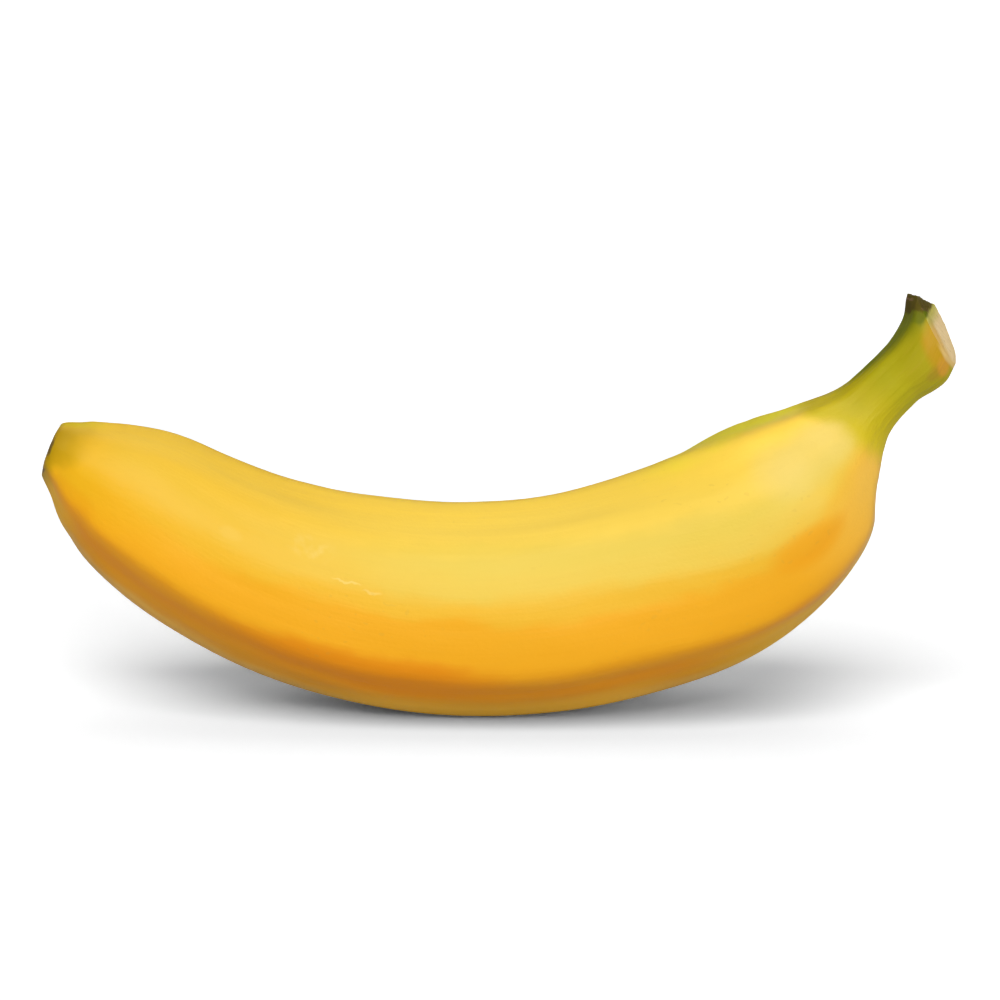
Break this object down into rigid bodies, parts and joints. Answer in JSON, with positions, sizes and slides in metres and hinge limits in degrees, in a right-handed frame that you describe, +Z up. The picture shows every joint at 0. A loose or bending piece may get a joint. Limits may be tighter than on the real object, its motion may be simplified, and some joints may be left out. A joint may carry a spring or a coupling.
{
  "type": "banana",
  "caption": "Whole ripe banana in its unpeeled yellow skin: a curved, softly ridged fruit resting on its belly, with a green stem at one end and a small dark scar at the other.",
  "frame": {"origin": "under the middle of the fruit's box, on the plane that it rests on", "axes": "+X from the blossom tip towards the stem, +Z up, with both ends of the bend pointing up; +Y completes a right-handed frame, so the side that faces -Y is the front"},
  "size_m": [0.1632, 0.0382, 0.0766],
  "materials": {
    "banana_skin": "satin, waxy ripe yellow skin, orange low on the side, green at the neck and stem, brown at the torn corner and the tip"
  },
  "bodies": {
    "root": {"banana": "banana_skin"}
  },
  "joints": []
}
